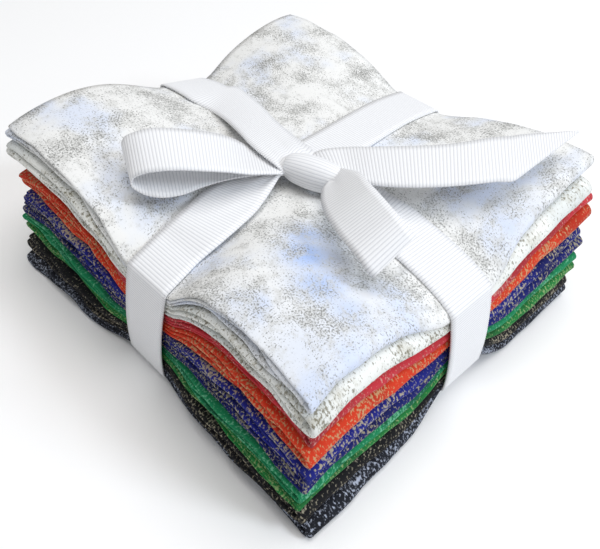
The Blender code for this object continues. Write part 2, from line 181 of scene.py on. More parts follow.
LOOP = [
    Edge(9.0, -14.5, 61.5, 9.0, -11.5, 61.5),
    Edge(8.0, -19.1, 63.5, -1.5, -12.6, 61.0),
    Edge(6.1, -25.0, 65.5, -11.5, -12.5, 61.0),
    Edge(3.4, -31.2, 68.0, -14.3, -18.5, 66.0),
    Edge(0.7, -37.1, 70.0, -15.9, -26.3, 70.5),
    Edge(-3.7, -43.1, 71.0, -19.0, -33.6, 73.2),
    Edge(-7.9, -47.9, 70.8, -23.4, -39.3, 73.8),
    Edge(-11.5, -51.3, 69.5, -26.3, -43.4, 72.8),
    Edge(-14.1, -53.5, 67.0, -29.0, -45.6, 70.5),
    Edge(-14.2, -53.8, 64.8, -29.6, -46.5, 68.0),
    Edge(-11.7, -52.4, 62.8, -26.6, -44.5, 66.0),
    Edge(-8.0, -49.4, 61.8, -22.7, -41.4, 64.8),
    Edge(-4.8, -43.7, 61.3, -19.6, -35.3, 63.5),
    Edge(-3.6, -36.2, 61.0, -17.7, -25.8, 62.3),
    Edge(-2.0, -29.8, 60.8, -15.3, -18.8, 61.0),
    Edge(1.7, -21.6, 60.5, -7.3, -13.8, 60.0),
    Edge(8.5, -13.3, 60.4, 8.5, -11.9, 60.4),
]
TAIL = [
    Edge(15.0, -5.5, 59.5, 6.0, -0.5, 59.5),
    Edge(20.1, -3.4, 61.8, 8.9, 2.3, 62.2),
    Edge(27.0, -2.2, 63.0, 14.8, 7.3, 64.0),
    Edge(34.9, -0.1, 64.5, 21.9, 11.1, 66.0),
    Edge(44.8, 5.8, 66.3, 32.4, 18.7, 68.0),
    Edge(52.0, 12.9, 67.0, 40.2, 26.5, 69.0),
    Edge(56.2, 17.8, 67.5, 44.2, 32.1, 69.5),
    Edge(60.1, 23.7, 67.5, 47.6, 38.4, 69.5),
    Edge(63.8, 29.7, 67.3, 51.7, 44.8, 69.3),
    Edge(63.8, 30.8, 67.3, 52.0, 45.4, 69.3),
    Edge(63.9, 47.5, 67.9, 58.1, 54.7, 69.0),
    Edge(63.9, 63.2, 68.5, 63.8, 63.6, 68.5),
]
FLAP = [
    Edge(18.5, -8.0, 59.5, 17.8, -5.0, 60.0),
    Edge(22.1, -7.2, 62.5, 20.9, -2.6, 64.0),
    Edge(24.3, -12.0, 63.2, 27.9, -4.4, 68.4),
    Edge(28.3, -16.7, 64.5, 34.0, -6.5, 71.8),
    Edge(33.8, -21.0, 65.4, 40.8, -10.3, 74.1),
    Edge(40.7, -24.8, 66.9, 46.1, -12.4, 74.9),
    Edge(47.2, -27.6, 67.7, 51.5, -14.4, 75.3),
    Edge(54.5, -29.6, 67.7, 57.3, -16.0, 74.9),
    Edge(58.2, -30.2, 66.4, 60.4, -16.1, 73.6),
    Edge(60.8, -29.6, 64.4, 62.6, -15.6, 71.6),
]

# Blue on the top cloth: the first four spots are a painted shadow, the flap's blue-grey shadow on the cloth
# beside it, and the rest are blue clouds of the print. Where each lies in the part's frame and how far it
# spreads, in millimetres, and how strong it is.
Cloud = namedtuple("Cloud", "x y size strength")
FLAP_SHADOW_AND_BLUE_CLOUDS = [
    # Painted shadow of the flap.
    Cloud(32, -25, 6, 0.8),
    Cloud(40, -32, 8, 1.0),
    Cloud(51, -38, 8, 0.9),
    Cloud(62, -39, 7, 0.6),
    # Blue clouds of the print.
    Cloud(70, -28, 9, 0.3),
    Cloud(66, -56, 14, 0.3),
    Cloud(48, -62, 12, 0.25),
    Cloud(72, 30, 14, 0.3),
]

# Pleats in the arms at the knot and a crease at the flap's root: heights in millimetres, places across from
# -1 to 1.
PLEAT_HEIGHT = 0.7
PLEATS = 2.5
PLEAT_RUN = 12 * MM
CREASE_DEPTH = 1.6
CREASE_AT = -0.25
CREASE_WIDTH = 0.22
CREASE_RUN = 13 * MM

# The knot: its middle, then half of its length, depth and height, in millimetres, and how far it is turned.
KNOT_MIDDLE = (15.6, -7.0, 61.6)
KNOT_HALF = (9.4, 4.8, 5.2)
KNOT_TURN = math.radians(19)
KNOT_WRAP = (-60, 240)
KNOT_ROWS = 90
KNOT_COLUMNS = 49
KNOT_ENDS = 0.52
KNOT_ROUNDNESS = 0.96

# Camera of the photograph, fitted to the stack's corners: where it is and how it is turned.
CAMERA_PLACE = np.array((143.02, -134.77, 200.07)) * MM + STACK_SHIFT
CAMERA_AZIMUTH = math.radians(46.29)
CAMERA_ELEVATION = math.radians(45.46)
CAMERA_ROLL = math.radians(0.37)
CAMERA_LENS = 43.4
CAMERA_SENSOR = 36
CAMERA_CLIP = 0.01

# The studio: where each light stands in metres, how wide it is, its power in watts and its colour.
Light = namedtuple("Light", "name place size watts colour")
LIGHTS = [
    Light("softbox", (0.15, 0.15, 1.3), 1.1, 11.0, (1.0, 0.985, 0.965)),
    Light("key", (0.95, 0.40, 0.85), 0.35, 6.5, (0.84, 0.91, 1.0)),
]
LIGHTS_AIM = (0, 0, 0.03)
WORLD_COLOUR = (0.97, 0.98, 1.0, 1)
WORLD_STRENGTH = 0.36
FLOOR_HALF = 4.0
FLOOR_DROP = 0.2 * MM
FLOOR_COLOUR = (0.98, 0.98, 0.98, 1)
FLOOR_ROUGHNESS = 0.9


def per_side(table, a, b):
    """The entries of a table of sides for the side of a and for the side of b."""
    return np.where(a > 0, table["+X"], table["-X"]), np.where(b > 0, table["+Y"], table["-Y"])


def per_pillow(field, a, b):
    """One value of the pillow that each (a, b) lies on."""
    rear = np.where(a > 0, getattr(PILLOWS["right"], field), getattr(PILLOWS["back"], field))
    front = np.where(a > 0, getattr(PILLOWS["near"], field), getattr(PILLOWS["left"], field))
    return np.where(b > 0, rear, front)


def course_at(course, at, share):
    """Where a band's middle runs at a place along it, share of the way up the stack."""
    at = np.clip(at / MM, course[0].at, course[-1].at)
    result = np.zeros(np.broadcast(at, share).shape)
    for start, end in zip(course, course[1:]):
        part = np.clip((at - start.at) / (end.at - start.at), 0, 1)
        ease = part * part * (3 - 2 * part)
        top = start.top + (end.top - start.top) * ease
        foot = start.foot + (end.foot - start.foot) * ease
        inside = (at >= start.at) & (at <= end.at)
        result = np.where(inside, foot + (top - foot) * share, result)
    return result * MM


def rise(distance, run, power=2):
    """0 up to a valley's edge, then a soft climb to 1."""
    return 1 - np.exp(-((np.maximum(distance, 0) / run) ** power))


def corner_blend(quarter, axis, a, b):
    """How far a piece's corners reach along one axis, spread evenly over the stack."""
    along = 0.5 + 0.5 * np.clip(a / HALF_LENGTH, -1, 1)
    across = 0.5 + 0.5 * np.clip(b / HALF_WIDTH, -1, 1)
    front = quarter.left[axis] * (1 - along) + quarter.near[axis] * along
    rear = quarter.back[axis] * (1 - along) + quarter.right[axis] * along
    return (front * (1 - across) + rear * across) * MM


def stack_top(a, b):
    """Height of the tied stack's top at (a, b)."""
    a, b = np.broadcast_arrays(np.asarray(a, float), np.asarray(b, float))
    far_a = a / HALF_LENGTH
    far_b = b / HALF_WIDTH
    fall_a, fall_b = per_side(BAND_FALL, a, b)
    under_bands = MIDDLE_HEIGHT - fall_a * far_a**2 - fall_b * far_b**2
    rim_a, rim_b = per_side(RIM_FALL, a, b)
    under_bands -= rim_a * np.abs(far_a) ** RIM_POWER + rim_b * np.abs(far_b) ** RIM_POWER
    under_bands -= np.where(a > 0, 0, LEFT_TILT * far_a**2) * np.clip(b / VALLEY_HALF, -1, 1)
    puffed = per_pillow("height", a, b) - per_pillow("sag", a, b) * np.abs(far_a * far_b) ** SAG_POWER
    climb_a = rise(np.abs(a) - VALLEY_HALF, per_pillow("run_a", a, b) * MM, CLIMB_POWER)
    climb_b = rise(np.abs(b) - VALLEY_HALF, per_pillow("run_b", a, b) * MM, CLIMB_POWER)
    return (under_bands + (puffed - under_bands) * climb_a * climb_b) * MM


def stack_foot(a, b):
    """Height of the tied stack's underside at (a, b): level, but for the bands' grooves."""
    a, b = np.broadcast_arrays(np.asarray(a, float), np.asarray(b, float))
    lift_a, lift_b = per_side(EDGE_LIFT, a, b)
    near_x_band = np.maximum(0, 1 - np.maximum(np.abs(b) - VALLEY_HALF, 0) / GROOVE_RUN) ** 2
    near_y_band = np.maximum(0, 1 - np.maximum(np.abs(a) - VALLEY_HALF, 0) / GROOVE_RUN) ** 2
    over_x_band = (GROOVE_DEPTH + lift_a * np.abs(a / HALF_LENGTH) ** 3) * near_x_band
    over_y_band = (GROOVE_DEPTH + lift_b * np.abs(b / HALF_WIDTH) ** 3) * near_y_band
    return np.maximum(over_x_band, over_y_band) * MM


def settle(a, b, w):
    """World places of points of the loose stack once it is tied."""
    share = w / LOOSE_HEIGHT
    x = a + course_at(BAND_Y_COURSE, b, share) * (1 - (a / HALF_LENGTH) ** 2)
    y = b + course_at(BAND_X_COURSE, a, share) * (1 - (b / HALF_WIDTH) ** 2)
    z = stack_foot(a, b) * (1 - share) + stack_top(a, b) * share
    return np.stack((x, y, z), axis=-1) + STACK_SHIFT


def reach_out(quarter, a, b):
    """Moves points of one piece by that piece's own corners."""
    out_a = np.abs(a / HALF_LENGTH) ** REACH_POWER * rise(np.abs(b) - VALLEY_HALF, SIDE_RISE)
    out_b = np.abs(b / HALF_WIDTH) ** REACH_POWER * rise(np.abs(a) - VALLEY_HALF, SIDE_RISE)
    return a + corner_blend(quarter, 0, a, b) * out_a, b + corner_blend(quarter, 1, a, b) * out_b


def waves(uneven, number, at):
    """How far one piece's layers end off their line at each place: smooth, uneven and always the same."""
    rng = np.random.default_rng(uneven.seed + number)
    total = np.zeros_like(at)
    for step in range(WAVE_COUNT):
        length = uneven.longest / (1 + WAVE_SHORTENING * step)
        phase = rng.uniform(0, 2 * math.pi)
        total += np.sin(at / length * 2 * math.pi + phase) / (1 + WAVE_FADING * step)
    return total / WAVE_SUM * uneven.reach


def half_turn(centre, radius, start, steps):
    """Points inside a half turn from the angle start, with their outward directions."""
    angles = start + math.pi * np.arange(1, steps) / steps
    out = np.stack((np.cos(angles), np.sin(angles)), axis=-1)
    return np.asarray(centre) + radius * out, out


def straight(start, end, height, step, side):
    """Points along a level run, with one side direction for all."""
    count = max(2, round(abs(end - start) / step) + 1)
    along = np.linspace(start, end, count)
    points = np.stack((along, np.full(count, height)), axis=-1)
    return points, np.tile(np.asarray(side, float), (count, 1))


def thirds_path(low, layer, free_end, step):
    """Middle line of the packet folded in thirds: places in (a, w), side directions and lengths along."""
    pitch = layer + LAYER_GAP
    bottom = low + layer / 2
    small_centre = (-HALF_LENGTH + layer / 2 + pitch / 2, bottom + pitch / 2)
    big_centre = (HALF_LENGTH - layer / 2 - pitch, bottom + pitch)
    pieces = [
        straight(big_centre[0] - INNER_END_SETBACK, small_centre[0], bottom + pitch, step, (0, 1)),
        half_turn(small_centre, pitch / 2, math.pi / 2, SMALL_TURN_STEPS),
        straight(small_centre[0], big_centre[0], bottom, step, (0, -1)),
        half_turn(big_centre, pitch, -math.pi / 2, BIG_TURN_STEPS),
        straight(big_centre[0], free_end, bottom + 2 * pitch, step, (0, 1)),
    ]
    # The turns' outward directions carry on from the side directions of the runs that they join.
    places = np.concatenate([places for places, _ in pieces])
    sides = np.concatenate([sides for _, sides in pieces])
    return places, sides, lengths_along(places)


def quarters_path(pitch, step):
    """How a packet's four plies lie across it: b, offset from the packet's middle, and lengths along them."""
    near, far = -HALF_WIDTH + 1.5 * pitch, HALF_WIDTH - 0.5 * pitch
    outer_end, inner_end = (HALF_WIDTH - setback for setback in PLY_SETBACKS)
    inner_turn, inner_out = half_turn((near, 0), 0.5 * pitch, -math.pi / 2, INNER_PLY_STEPS)
    # Mirrored, so that this turn runs from its foot over -Y to its top.
    inner_turn[:, 0] = 2 * near - inner_turn[:, 0]
    pieces = [
        straight(outer_end, near, 1.5 * pitch, step, (0, 1)),
        half_turn((near, 0), 1.5 * pitch, math.pi / 2, OUTER_PLY_STEPS),
        straight(near, far, -1.5 * pitch, step, (0, 1)),
        half_turn((far, -pitch), 0.5 * pitch, -math.pi / 2, INNER_PLY_STEPS),
        straight(far, near, -0.5 * pitch, step, (0, 1)),
        (inner_turn, inner_out),
        straight(near, inner_end, 0.5 * pitch, step, (0, 1)),
    ]
    places = np.concatenate([places for places, _ in pieces])
    return places[:, 0], places[:, 1], lengths_along(places)


def lengths_along(places):
    """The length along a line at each of its points."""
    steps = np.linalg.norm(np.diff(places, axis=0), axis=1)
    return np.concatenate(([0], np.cumsum(steps)))


def grid_normals(points):
    """Unit normals of a grid of points."""
    normal = np.cross(np.gradient(points, axis=0), np.gradient(points, axis=1))
    return normal / np.maximum(np.linalg.norm(normal, axis=-1, keepdims=True), TINY)


def sheet_object(name, points, thickness, flat, lift=None, tint=None):
    """A thin closed sheet over a grid of points. flat gives each point's place on the flat cloth, in metres.

    lift moves both faces of the sheet outwards, for ribs that stand on either side of it. tint says how
    strongly each point is coloured blue by the flap's painted shadow and by the print's blue clouds.
    """
    normals = grid_normals(points)
    half = thickness / 2 + (0 if lift is None else lift[..., None])
    front = points + normals * half
    back = points - normals * half
    rows, columns = points.shape[:2]
    count = rows * columns
    index = np.arange(count).reshape(rows, columns)
    corners = (index[:-1, :-1], index[1:, :-1], index[1:, 1:], index[:-1, 1:])
    front_faces = np.stack(corners, axis=-1).reshape(-1, 4)
    back_faces = front_faces[:, ::-1] + count
    edges = (index[:, 0], index[:, -1][::-1], index[-1], index[0][::-1])
    walls = [np.stack((edge[:-1], edge[:-1] + count, edge[1:] + count, edge[1:]), axis=-1) for edge in edges]
    faces = np.concatenate([front_faces, back_faces, *walls])
    mesh = bpy.data.meshes.new(name)
    mesh.from_pydata(np.concatenate((front.reshape(-1, 3), back.reshape(-1, 3))), [], faces.tolist())
    place = mesh.attributes.new("flat", "FLOAT_VECTOR", "POINT")
    flat = np.tile(flat.reshape(-1, 2), (2, 1))
    place.data.foreach_set("vector", np.column_stack((flat, np.zeros(len(flat)))).astype(np.float32).ravel())
    if tint is not None:
        tinted = mesh.attributes.new("tint", "FLOAT", "POINT")
        tinted.data.foreach_set("value", np.tile(tint.ravel(), 2).astype(np.float32))
    mesh.shade_smooth()
    obj = bpy.data.objects.new(name, mesh)
    bpy.context.scene.collection.objects.link(obj)
    return obj


def fold_quarter(number, quarter, low):
    """One fat quarter's cloth, folded in quarters and then in thirds."""
    layer = (quarter.thick * MM - PIECE_GAP - 2 * LAYER_GAP) / 3
    pitch = (layer - quarter.cloth * MM) / 3
    step = TOP_CLOTH_STEP if number == 0 else CLOTH_STEP
    places, sides, s = thirds_path(low, layer, -HALF_LENGTH + quarter.free * MM, step)
    b, offset, v = quarters_path(pitch, step)
    a = places[:, :1] + sides[:, :1] * offset
    b = np.broadcast_to(b, a.shape)
    pinch = 1 - END_PINCH * np.clip(np.abs(b) / HALF_WIDTH, 0, 1) ** END_PINCH_POWER
    w = places[:, 1:] + sides[:, 1:] * offset * pinch
    near_end = np.clip(-b / HALF_WIDTH, 0, 1) ** END_POWER
    far_end = np.clip(b / HALF_WIDTH, 0, 1) ** END_POWER
    fold_end = np.clip(a / HALF_LENGTH, 0, 1) ** END_POWER
    clear_of_x_band = rise(np.abs(b) - VALLEY_HALF, SIDE_RISE)
    clear_of_y_band = rise(np.abs(a) - VALLEY_HALF, SIDE_RISE)
    along_a, along_b = reach_out(quarter, a, b)
    along_b = along_b + waves(NEAR_WAVES, number, s)[:, None] * near_end * clear_of_y_band
    along_b = along_b + waves(FAR_WAVES, number, s)[:, None] * far_end * clear_of_y_band
    along_a = along_a + waves(FOLD_WAVES, number, b) * fold_end * clear_of_x_band
    points = settle(along_a, along_b, w)
    flat = np.stack(np.broadcast_arrays(s[:, None], v[None, :]), axis=-1)
    # The top cloth gets the flap's shadow painted in blue, together with the print's blue clouds.
    tint = flap_shadow_and_blue_clouds(points) if number == 0 else None
    return sheet_object(quarter.name + "_cloth", points, quarter.cloth * MM, flat, tint=tint)


def flap_shadow_and_blue_clouds(points):
    """Soft spots at the listed places: the flap's painted shadow and the print's blue clouds on the top
    cloth.
    """
    tint = np.zeros(points.shape[:2])
    for cloud in FLAP_SHADOW_AND_BLUE_CLOUDS:
        away = (points[..., 0] - cloud.x * MM) ** 2 + (points[..., 1] - cloud.y * MM) ** 2
        tint = np.maximum(tint, cloud.strength * np.exp(-away / (cloud.size * MM) ** 2))
    return tint


def smooth_edges(rows, spacing):
    """Points of both edges at an even spacing on smooth curves through the rows, and the lengths along."""
    rows = np.asarray(rows, float)
    changes = np.diff(rows, axis=0)
    steps = np.linalg.norm(changes[:, :3] + changes[:, 3:], axis=1)[:, None] / 2
    slopes = changes / steps
    inner = (slopes[:-1] * steps[1:] + slopes[1:] * steps[:-1]) / (steps[1:] + steps[:-1])
    tangents = np.vstack((slopes[:1], inner, slopes[-1:]))
    t = np.linspace(0, 1, CURVE_STEPS, endpoint=False)[:, None]
    fine = []
    for start, end, leave, arrive, step in zip(rows, rows[1:], tangents, tangents[1:], steps):
        ends = start * (1 + 2 * t) * (1 - t) ** 2 + end * t**2 * (3 - 2 * t)
        fine.append(ends + step * (leave * t * (1 - t) ** 2 - arrive * t**2 * (1 - t)))
    fine = np.vstack((*fine, rows[-1]))
    length = lengths_along((fine[:, :3] + fine[:, 3:]) / 2)
    at = np.arange(0, length[-1], spacing)
    return np.stack([np.interp(at, length, column) for column in fine.T], axis=-1), at


def rib_lift(at):
    """How far the ribs stand out at lengths along the ribbon."""
    return RIB_HEIGHT * np.abs(np.sin(math.pi * at / RIB_PITCH)) ** RIB_ROUNDING


def ribbon_sheet(name, rows, bulge=None):
    """A run of ribbon between two edges. bulge(at, across) lifts it off the straight line between them."""
    edges, at = smooth_edges(rows, RIB_PITCH / RIB_STEPS)
    across = np.linspace(-1, 1, RIBBON_COLUMNS)
    share = (across + 1) / 2
    points = edges[:, None, :3] * (1 - share)[:, None] + edges[:, None, 3:] * share[:, None]
    if bulge is not None:
        points = points + grid_normals(points) * (bulge(at[:, None], across[None, :]) * MM)[..., None]
    flat = np.stack(np.broadcast_arrays(at[:, None], across * RIBBON_WIDTH / 2), axis=-1)
    lift = np.broadcast_to(rib_lift(at)[:, None], points.shape[:2])
    sheet = sheet_object(name, points + STACK_SHIFT, RIBBON_THICK, flat, lift)
    return sheet, at[-1]


def band_rows(band, axis, course, top, foot, first, last):
    """Both edges of a band, from the place first on top, down one side, under the stack and up to last.

    axis is 0 for the band along X and 1 for the one along Y. first lies towards the lower end of that axis.
    top and foot give heights at a place along the band and off its middle.
    """
    edges = []
    for side in (-1, 1):
        off = side * RIBBON_WIDTH / 2
        line = band_line(band, lambda at: top(at, off), lambda at: foot(at, off), first, last)
        share = np.clip(line[:, 1] / top(np.clip(line[:, 0], -band.half, band.half), off), 0, 1)
        points = np.zeros((len(line), 3))
        points[:, axis] = line[:, 0]
        points[:, 1 - axis] = course_at(course, line[:, 0], share) + off
        points[:, 2] = line[:, 1]
        edges.append(points)
    return np.hstack(edges)


def band_line(band, top, foot, first, last):
    """A band's line round the stack in its upright plane: rows of (along, height)."""

    def above(at):
        return top(at) + BAND_CLEAR + band.over * np.exp(-((at / CROSSING_RUN) ** 2))

    def below(at):
        return foot(at) + band.foot

    line = []
    for direction, start in ((-1, first), (1, last)):
        out = band.half + SIDE_CLEAR - band.corner
        slope = math.atan2(above(direction * (out - band.corner)) - above(direction * out), band.corner)
        end = direction * (out + band.corner * math.sin(slope))
        run = np.linspace(start, end, max(BAND_MIN_POINTS, round(abs(end - start) / BAND_STEP)))
        upper = band_corner(end, above(end), band.corner, direction, slope, math.pi / 2)
        lower = band_corner(direction * out, below(direction * out), -band.corner, direction, 0, math.pi / 2)
        line.append(np.vstack((np.stack((run, above(run)), axis=-1), upper)))
        line.append(lower[::-1])
    under = np.linspace(line[1][-1, 0], line[3][-1, 0], FOOT_STEPS)[1:-1]
    foot_line = np.stack((under, below(under)), axis=-1)
    return np.vstack((line[0], line[1], foot_line, line[3][::-1], line[2][::-1]))


def band_corner(at, height, radius, direction, slope, last):
    """The turn of a band round a corner of the stack, from a slope on to the upright, both as angles.

    It starts at (at, height). A negative radius turns up from the foot.
    """
    angles = np.linspace(slope, last, CORNER_STEPS)[1:]
    middle = at - direction * abs(radius) * math.sin(slope), height - radius * math.cos(slope)
    across = middle[0] + direction * abs(radius) * np.sin(angles)
    return np.stack((across, middle[1] + radius * np.cos(angles)), axis=-1)


def knot_sheet():
    """The wrap of the knot: ribbon drawn over the crossing from front to back, slimmer at its edges."""
    angles = np.radians(np.linspace(*KNOT_WRAP, KNOT_ROWS))
    turns, across = np.meshgrid(angles, np.linspace(-1, 1, KNOT_COLUMNS), indexing="ij")
    length, depth, height = np.array(KNOT_HALF) * MM
    slim = KNOT_ENDS + (1 - KNOT_ENDS) * np.sqrt(1 - KNOT_ROUNDNESS * across**2)
    along = np.array((math.cos(KNOT_TURN), math.sin(KNOT_TURN), 0))
    front = np.array((math.sin(KNOT_TURN), -math.cos(KNOT_TURN), 0))
    up = np.array((0, 0, 1))
    points = (
        along * (across * length)[..., None]
        + front * (np.cos(turns) * depth * slim)[..., None]
        + up * (np.sin(turns) * height * slim)[..., None]
    )
    points = points + np.array(KNOT_MIDDLE) * MM
    at = lengths_along(points[:, KNOT_COLUMNS // 2])
    flat = np.stack(np.broadcast_arrays(at[:, None], across * RIBBON_WIDTH / 2), axis=-1)
    lift = np.broadcast_to(rib_lift(at)[:, None], points.shape[:2])
    return sheet_object("ribbon_knot", points + STACK_SHIFT, RIBBON_THICK, flat, lift), at[-1]


class Material:
    """A node material with short calls for its nodes."""

    def __init__(self, name):
        self.material = bpy.data.materials.new(name)
        self.material.use_nodes = True
        self.tree = self.material.node_tree
        self.shader = self.tree.nodes["Principled BSDF"]

    def node(self, kind, inputs=None, **settings):
        node = self.tree.nodes.new(kind)
        for name, value in settings.items():
            setattr(node, name, value)
        for name, value in (inputs or {}).items():
            self.put(node.inputs[name], value)
        return node

    def put(self, socket, value):
        if isinstance(value, bpy.types.NodeSocket):
            self.tree.links.new(value, socket)
        else:
            socket.default_value = value

    def noise(self, vector, size, detail=2.0, roughness=0.5):
        """Noise whose blotches are about size across, in metres."""
        inputs = {"Vector": vector, "Scale": 1 / size, "Detail": detail, "Roughness": roughness}
        return self.node("ShaderNodeTexNoise", inputs).outputs["Fac"]

    def ramp(self, value, low, high):
        """0 below low and 1 above high, smooth between."""
        inputs = {"Value": value, "From Min": low, "From Max": high}
        return self.node("ShaderNodeMapRange", inputs, interpolation_type="SMOOTHSTEP").outputs["Result"]

    def math(self, operation, *values):
        node = self.node("ShaderNodeMath", operation=operation)
        for socket, value in zip(node.inputs, values):
            self.put(socket, value)
        return node.outputs[0]

    def mix(self, share, first, second):
        node = self.node("ShaderNodeMix", data_type="RGBA")
        self.put(node.inputs["Factor"], share)
        self.put(node.inputs[6], first)
        self.put(node.inputs[7], second)
        return node.outputs[2]

    def flat_place(self):
        return self.node("ShaderNodeAttribute", attribute_name="flat").outputs["Vector"]


# The prints. ground and tint are the cloth's colours, and tint lies in broad patches. cloud is the colour of
# a soft mottling, and fleck that of a fine speckle. clouds and flecks say how much of the cloth they cover,
# from about 0.4 for most of it to 0.65 for little. size is a fleck's, in millimetres. Both gather in the same
# patches: patchy says how strongly. metal is how metallic the flecks are.
Print = namedtuple("Print", "ground tint cloud fleck clouds flecks size patchy metal")
PRINTS = {
    "cotton_grey": Print(
        (0.85, 0.85, 0.835), (0.72, 0.77, 0.88), (0.58, 0.58, 0.56), (0.22, 0.22, 0.21),
        0.43, 0.53, 0.62, 0.6, 0,
    ),
    "cotton_cream": Print(
        (0.84, 0.85, 0.82), (0.72, 0.75, 0.74), (0.52, 0.50, 0.42), (0.20, 0.18, 0.12),
        0.46, 0.53, 0.8, 0.5, 0.2,
    ),
    "cotton_dusty_red": Print(
        (0.56, 0.035, 0.05), (0.40, 0.03, 0.04), (0.30, 0.06, 0.05), (0.62, 0.30, 0.26),
        0.52, 0.55, 0.8, 0.5, 0.2,
    ),
    "cotton_orange_red": Print(
        (0.66, 0.045, 0.015), (0.46, 0.03, 0.012), (0.30, 0.05, 0.02), (0.58, 0.40, 0.20),
        0.54, 0.50, 0.8, 0.5, 0.4,
    ),
    "cotton_royal_blue": Print(
        (0.010, 0.016, 0.21), (0.007, 0.010, 0.10), (0.02, 0.02, 0.05), (0.50, 0.45, 0.31),
        0.54, 0.50, 0.85, 0.5, 0.4,
    ),
    "cotton_navy": Print(
        (0.008, 0.013, 0.14), (0.005, 0.008, 0.07), (0.02, 0.02, 0.04), (0.42, 0.38, 0.26),
        0.54, 0.51, 0.85, 0.5, 0.4,
    ),
    "cotton_teal": Print(
        (0.010, 0.23, 0.09), (0.008, 0.12, 0.06), (0.01, 0.08, 0.04), (0.16, 0.52, 0.30),
        0.52, 0.52, 0.85, 0.5, 0.1,
    ),
    "cotton_green": Print(
        (0.016, 0.20, 0.045), (0.010, 0.10, 0.025), (0.01, 0.05, 0.015), (0.30, 0.44, 0.18),
        0.52, 0.51, 0.8, 0.5, 0.3,
    ),
    "cotton_black": Print(
        (0.008, 0.008, 0.010), (0.005, 0.005, 0.006), (0.04, 0.04, 0.035), (0.40, 0.36, 0.27),
        0.52, 0.53, 0.75, 0.5, 0.5,
    ),
    "cotton_charcoal": Print(
        (0.014, 0.016, 0.024), (0.008, 0.009, 0.013), (0.05, 0.055, 0.07), (0.42, 0.46, 0.56),
        0.52, 0.50, 0.75, 0.5, 0.5,
    ),
}
TINT_SIZE = 26 * MM
PATCH_SIZE = 15 * MM
CLOUD_SIZE = 4 * MM
# The blue of the flap's painted shadow and of the print's blue clouds on the top cloth, and how strongly it
# colours.
SHADOW_AND_CLOUD_BLUE = (0.26, 0.44, 0.86, 1)
BLUE_STRENGTH = 0.75
TINT_RANGE = (0.48, 0.66)
CLOUD_SOFTNESS = 0.22
CLOUD_STRENGTH = 0.7
FLECK_SOFTNESS = 0.14
FLECK_STRENGTH = 0.85
FLECK_GLOSS = 0.3
COTTON_ROUGHNESS = 0.88
COTTON_SPECULAR = 0.25
PRINT_OFFSET = (0.7, 0.3)
WEAVE_PITCH = 0.36 * MM
WEAVE_DEPTH = 0.03 * MM
WEAVE_STRENGTH = 0.35

# The ribbon's looks.
RIBBON_WHITE = (0.88, 0.885, 0.90, 1)
# Painted shade in the grooves between the ribs: its grey, where it starts and ends across a rib, and how
# strong it is.
GROOVE_SHADE_GREY = (0.62, 0.63, 0.66, 1)
RIB_SHADE_RANGE = (0.05, 0.75)
RIB_SHADE = 0.75
RIBBON_ROUGHNESS = 0.5
RIBBON_SPECULAR = 0.3
RIBBON_SHEEN = 0.15
THREAD_PITCH = 0.3 * MM
THREAD_DEPTH = 0.02 * MM
THREAD_STRENGTH = 0.2


def cotton_material(slot, number):
    """Woven cotton with a mottled print: broad tints, soft clouds and fine flecks that gather in patches. The
    top cloth is also coloured blue by the flap's painted shadow and by the print's blue clouds.
    """
    colours = PRINTS[slot]
    make = Material(slot)
    inputs = {0: make.flat_place(), 1: (number * PRINT_OFFSET[0], number * PRINT_OFFSET[1], 0)}
    place = make.node("ShaderNodeVectorMath", inputs, operation="ADD").outputs[0]
    tinted = make.ramp(make.noise(place, TINT_SIZE, 3), *TINT_RANGE)
    colour = make.mix(tinted, (*colours.ground, 1), (*colours.tint, 1))
    patches = make.math("SUBTRACT", make.noise(place, PATCH_SIZE, 3, 0.6), 0.5)
    patches = make.math("MULTIPLY", patches, colours.patchy)
    # Painted shadow: on the top cloth the flap's shadow is painted blue, along with the print's blue clouds.
    if slot == "cotton_grey":
        blue = make.node("ShaderNodeAttribute", attribute_name="tint").outputs["Fac"]
        colour = make.mix(make.math("MULTIPLY", blue, BLUE_STRENGTH), colour, SHADOW_AND_CLOUD_BLUE)
    clouds = make.math("ADD", make.noise(place, CLOUD_SIZE, 5, 0.75), patches)
    clouds = make.ramp(clouds, colours.clouds, colours.clouds + CLOUD_SOFTNESS)
    colour = make.mix(make.math("MULTIPLY", clouds, CLOUD_STRENGTH), colour, (*colours.cloud, 1))
    flecks = make.math("ADD", make.noise(place, colours.size * MM, 2, 0.6), patches)
    flecks = make.ramp(flecks, colours.flecks, colours.flecks + FLECK_SOFTNESS)
    colour = make.mix(make.math("MULTIPLY", flecks, FLECK_STRENGTH), colour, (*colours.fleck, 1))
    make.put(make.shader.inputs["Base Color"], colour)
    if colours.metal:
        make.put(make.shader.inputs["Metallic"], make.math("MULTIPLY", flecks, colours.metal))
    gloss = make.math("MULTIPLY", flecks, FLECK_GLOSS)
    make.put(make.shader.inputs["Roughness"], make.math("SUBTRACT", COTTON_ROUGHNESS, gloss))
    make.shader.inputs["Specular IOR Level"].default_value = COTTON_SPECULAR
    make.put(make.shader.inputs["Normal"], weave_bump(make, place))
    return make.material


def weave_bump(make, place):
    """The bump of a plain weave in the flat cloth's own directions."""
    axes = make.node("ShaderNodeSeparateXYZ", {0: place}).outputs
    warp = make.math("SINE", make.math("MULTIPLY", axes[0], 2 * math.pi / WEAVE_PITCH))
    weft = make.math("SINE", make.math("MULTIPLY", axes[1], 2 * math.pi / WEAVE_PITCH))
    height = make.math("MULTIPLY", warp, weft)
    inputs = {"Height": height, "Strength": WEAVE_STRENGTH, "Distance": WEAVE_DEPTH}
    return make.node("ShaderNodeBump", inputs).outputs["Normal"]


